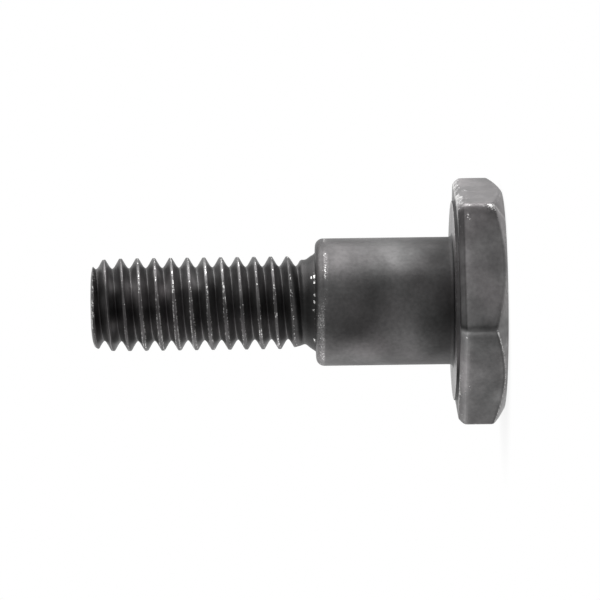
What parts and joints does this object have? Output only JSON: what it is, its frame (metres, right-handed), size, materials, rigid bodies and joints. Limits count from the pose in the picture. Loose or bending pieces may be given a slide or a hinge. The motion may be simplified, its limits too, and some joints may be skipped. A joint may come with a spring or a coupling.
{
  "type": "clutch bolt",
  "caption": "Hexagon head shoulder bolt of dark steel: a plain round shoulder for a clutch part to turn on, and a short coarse thread beyond it.",
  "frame": {"origin": "centre of the head's flat outer face, on which the bolt stands", "axes": "+Z along the bolt's axis, from the head through the shoulder to the tip of the thread; +X and +Y across it, with a corner of the hexagon 17 degrees from +X towards +Y"},
  "size_m": [0.0208, 0.0212, 0.0348],
  "materials": {
    "black_oxide_steel": "black oxide, satin, rubbed bright along worn edges and thread crests"
  },
  "bodies": {
    "root": {"clutch_bolt": "black_oxide_steel"}
  },
  "joints": []
}
